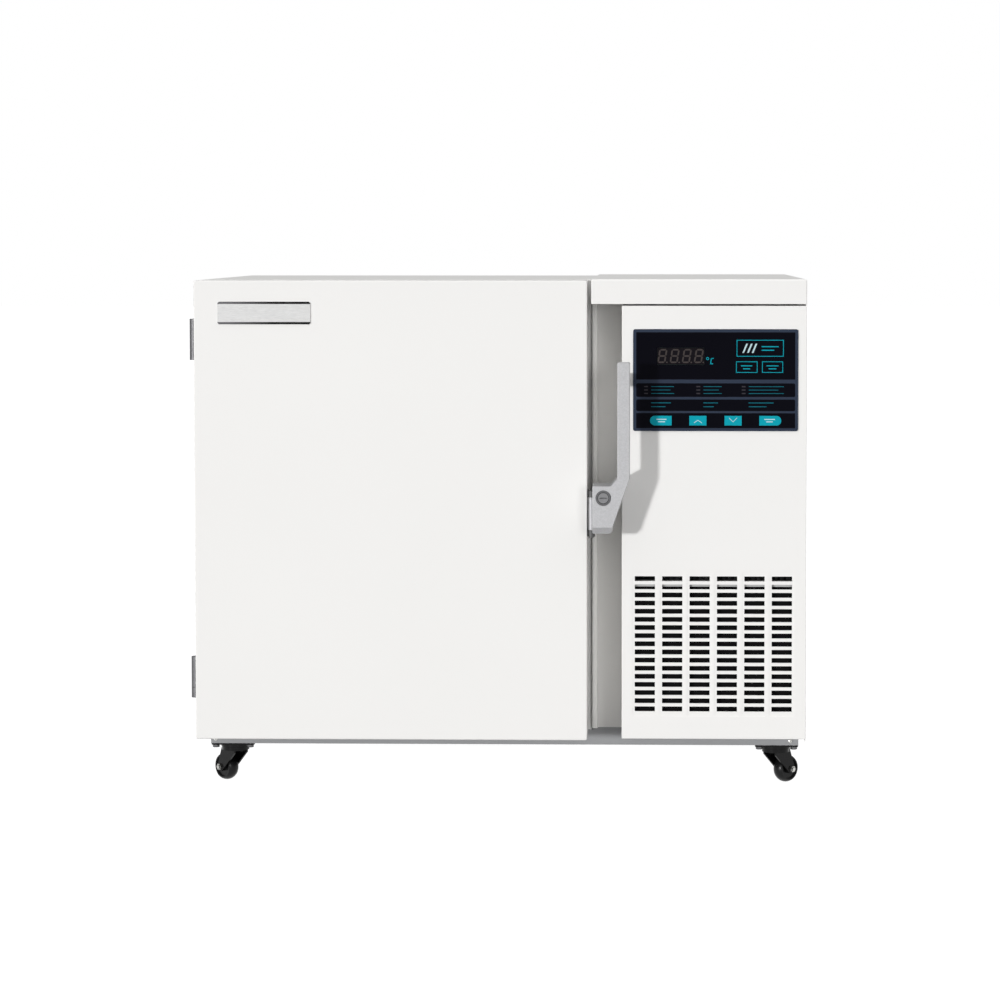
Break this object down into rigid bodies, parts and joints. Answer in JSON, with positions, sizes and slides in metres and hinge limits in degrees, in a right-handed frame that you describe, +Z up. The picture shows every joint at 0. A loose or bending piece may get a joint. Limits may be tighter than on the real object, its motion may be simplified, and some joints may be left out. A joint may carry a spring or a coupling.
{
  "type": "ultra low temperature freezer",
  "caption": "Under-bench ultra low temperature freezer with a latched insulated door on the left, a machine compartment with controls and grille on the right, and swivel casters.",
  "frame": {"origin": "centre of the whole object's footprint, on the floor", "axes": "+Z up, -Y out of the front with the door, +X to the viewer's right"},
  "size_m": [0.888, 0.6652, 0.74],
  "materials": {
    "white_paint": "satin",
    "grey_paint": "satin",
    "black_paint": "satin",
    "stainless": "satin",
    "zinc_steel": "satin",
    "silver_casting": "satin",
    "bare_plate": "satin",
    "dark_fins": "matte",
    "chrome": "polished",
    "copper": "satin",
    "foam": "matte",
    "white_plastic": "satin",
    "grey_plastic": "satin",
    "black_plastic": "satin",
    "filter_frame": "matte",
    "board": "satin",
    "overlay_film": "satin",
    "key_film": "satin",
    "gasket": "matte",
    "rubber": "matte",
    "wheel_nylon": "satin"
  },
  "bodies": {
    "cabinet": {"cabinet_shell": "white_paint", "cabinet_liner": "stainless", "cabinet_insulation": "foam", "breaker_frame": "white_plastic", "evaporator_coil": "copper", "shelf": "stainless", "access_port_plug": "grey_plastic", "base_frame": "grey_paint", "top_cap": "white_paint", "front_panel": "white_paint", "right_side_panel": "white_paint", "recess_plate": "grey_paint", "back_panel": "grey_paint", "mains_inlet": "black_plastic", "hinge_cabinet_leaves": "zinc_steel", "keeper": "zinc_steel", "control_overlay": "overlay_film", "control_board": "board", "air_filter": "filter_frame", "condenser": "dark_fins", "fan_shroud": "grey_paint", "fan_motor": "black_paint", "compressors": "black_paint", "compressor_mounts": "rubber", "heat_exchanger": "black_plastic", "filter_driers": "copper", "electrical_box": "grey_plastic", "refrigerant_pipes": "copper", "caster_plates": "black_paint"},
    "door": {"door_skin": "white_paint", "door_inner_panel": "white_plastic", "door_foam": "foam", "door_gasket": "gasket", "nameplate": "bare_plate", "hinge_door_leaves": "zinc_steel", "latch_bracket": "zinc_steel", "latch_pin": "zinc_steel"},
    "lever": {"latch_lever": "silver_casting", "lever_bumper": "rubber", "lock_bezel": "chrome"},
    "lock_core": {"lock_plug": "chrome"},
    "inner_upper": {"inner_door_upper": "white_plastic"},
    "inner_lower": {"inner_door_lower": "white_plastic"},
    "fan": {"fan_rotor": "black_plastic"},
    "rocker": {"power_rocker": "black_plastic"},
    "key_buzzer_cap": {"key_buzzer": "overlay_film"},
    "key_small_left_cap": {"key_small_left": "overlay_film"},
    "key_small_right_cap": {"key_small_right": "overlay_film"},
    "key_mode_cap": {"key_mode": "key_film"},
    "key_up_cap": {"key_up": "key_film"},
    "key_down_cap": {"key_down": "key_film"},
    "key_enter_cap": {"key_enter": "key_film"},
    "swivel_front_left": {"caster_fork_front_left": "black_paint"},
    "roller_front_left": {"caster_wheel_front_left": "wheel_nylon"},
    "swivel_front_right": {"caster_fork_front_right": "black_paint"},
    "roller_front_right": {"caster_wheel_front_right": "wheel_nylon"},
    "swivel_rear_left": {"caster_fork_rear_left": "black_paint"},
    "roller_rear_left": {"caster_wheel_rear_left": "wheel_nylon"},
    "swivel_rear_right": {"caster_fork_rear_right": "black_paint"},
    "roller_rear_right": {"caster_wheel_rear_right": "wheel_nylon"}
  },
  "joints": [
    {"name": "door_hinge", "type": "hinge", "parent": "cabinet", "child": "door", "pos_m": [-0.4375, -0.1869, 0.13], "axis": [0, 0, -1], "range_deg": [0, 115]},
    {"name": "lever_pivot", "type": "hinge", "parent": "door", "child": "lever", "pos_m": [0.14, -0.2704, 0.3843], "axis": [0, 0, -1], "range_deg": [0, 30]},
    {"name": "lock_turn", "type": "hinge", "parent": "lever", "child": "lock_core", "pos_m": [0.1575, -0.3314, 0.435], "axis": [0, -1, 0], "range_deg": [0, 90]},
    {"name": "fan_spin", "type": "hinge", "parent": "cabinet", "child": "fan", "pos_m": [0.3129, -0.1224, 0.2085], "axis": [0, 1, 0], "continuous": true},
    {"name": "rocker_tip", "type": "hinge", "parent": "cabinet", "child": "rocker", "pos_m": [0.386, 0.3196, 0.1473], "axis": [1, 0, 0], "range_deg": [0, 14]},
    {"name": "inner_upper_hinge", "type": "hinge", "parent": "cabinet", "child": "inner_upper", "pos_m": [-0.326, -0.1694, 0.415], "axis": [0, 0, -1], "range_deg": [0, 92]},
    {"name": "inner_lower_hinge", "type": "hinge", "parent": "cabinet", "child": "inner_lower", "pos_m": [-0.326, -0.1694, 0.178], "axis": [0, 0, -1], "range_deg": [0, 92]},
    {"name": "key_buzzer_press", "type": "slide", "parent": "cabinet", "child": "key_buzzer_cap", "axis": [0, 1, 0], "range_m": [0, 0.0005], "stiffness_N_per_m": 1000},
    {"name": "key_small_left_press", "type": "slide", "parent": "cabinet", "child": "key_small_left_cap", "axis": [0, 1, 0], "range_m": [0, 0.0005], "stiffness_N_per_m": 1000},
    {"name": "key_small_right_press", "type": "slide", "parent": "cabinet", "child": "key_small_right_cap", "axis": [0, 1, 0], "range_m": [0, 0.0005], "stiffness_N_per_m": 1000},
    {"name": "key_mode_press", "type": "slide", "parent": "cabinet", "child": "key_mode_cap", "axis": [0, 1, 0], "range_m": [0, 0.0005], "stiffness_N_per_m": 1000},
    {"name": "key_up_press", "type": "slide", "parent": "cabinet", "child": "key_up_cap", "axis": [0, 1, 0], "range_m": [0, 0.0005], "stiffness_N_per_m": 1000},
    {"name": "key_down_press", "type": "slide", "parent": "cabinet", "child": "key_down_cap", "axis": [0, 1, 0], "range_m": [0, 0.0005], "stiffness_N_per_m": 1000},
    {"name": "key_enter_press", "type": "slide", "parent": "cabinet", "child": "key_enter_cap", "axis": [0, 1, 0], "range_m": [0, 0.0005], "stiffness_N_per_m": 1000},
    {"name": "swivel_front_left_turn", "type": "hinge", "parent": "cabinet", "child": "swivel_front_left", "pos_m": [-0.3855, -0.1499, 0.0528], "axis": [0, 0, 1], "continuous": true},
    {"name": "roller_front_left_turn", "type": "hinge", "parent": "swivel_front_left", "child": "roller_front_left", "pos_m": [-0.40106, -0.13434, 0.02], "axis": [-0.7071, -0.7071, 0], "continuous": true},
    {"name": "swivel_front_right_turn", "type": "hinge", "parent": "cabinet", "child": "swivel_front_right", "pos_m": [0.4075, -0.1499, 0.0528], "axis": [0, 0, 1], "continuous": true},
    {"name": "roller_front_right_turn", "type": "hinge", "parent": "swivel_front_right", "child": "roller_front_right", "pos_m": [0.42306, -0.13434, 0.02], "axis": [-0.7071, 0.7071, 0], "continuous": true},
    {"name": "swivel_rear_left_turn", "type": "hinge", "parent": "cabinet", "child": "swivel_rear_left", "pos_m": [-0.3855, 0.2871, 0.0528], "axis": [0, 0, 1], "continuous": true},
    {"name": "roller_rear_left_turn", "type": "hinge", "parent": "swivel_rear_left", "child": "roller_rear_left", "pos_m": [-0.40106, 0.27154, 0.02], "axis": [0.7071, -0.7071, 0], "continuous": true},
    {"name": "swivel_rear_right_turn", "type": "hinge", "parent": "cabinet", "child": "swivel_rear_right", "pos_m": [0.4075, 0.2871, 0.0528], "axis": [0, 0, 1], "continuous": true},
    {"name": "roller_rear_right_turn", "type": "hinge", "parent": "swivel_rear_right", "child": "roller_rear_right", "pos_m": [0.42306, 0.27154, 0.02], "axis": [0.7071, 0.7071, 0], "continuous": true}
  ],
  "couplings": [
    {"joint": "inner_upper_hinge", "follows": "door_hinge", "ratio": 0.8},
    {"joint": "inner_lower_hinge", "follows": "door_hinge", "ratio": 0.8}
  ]
}
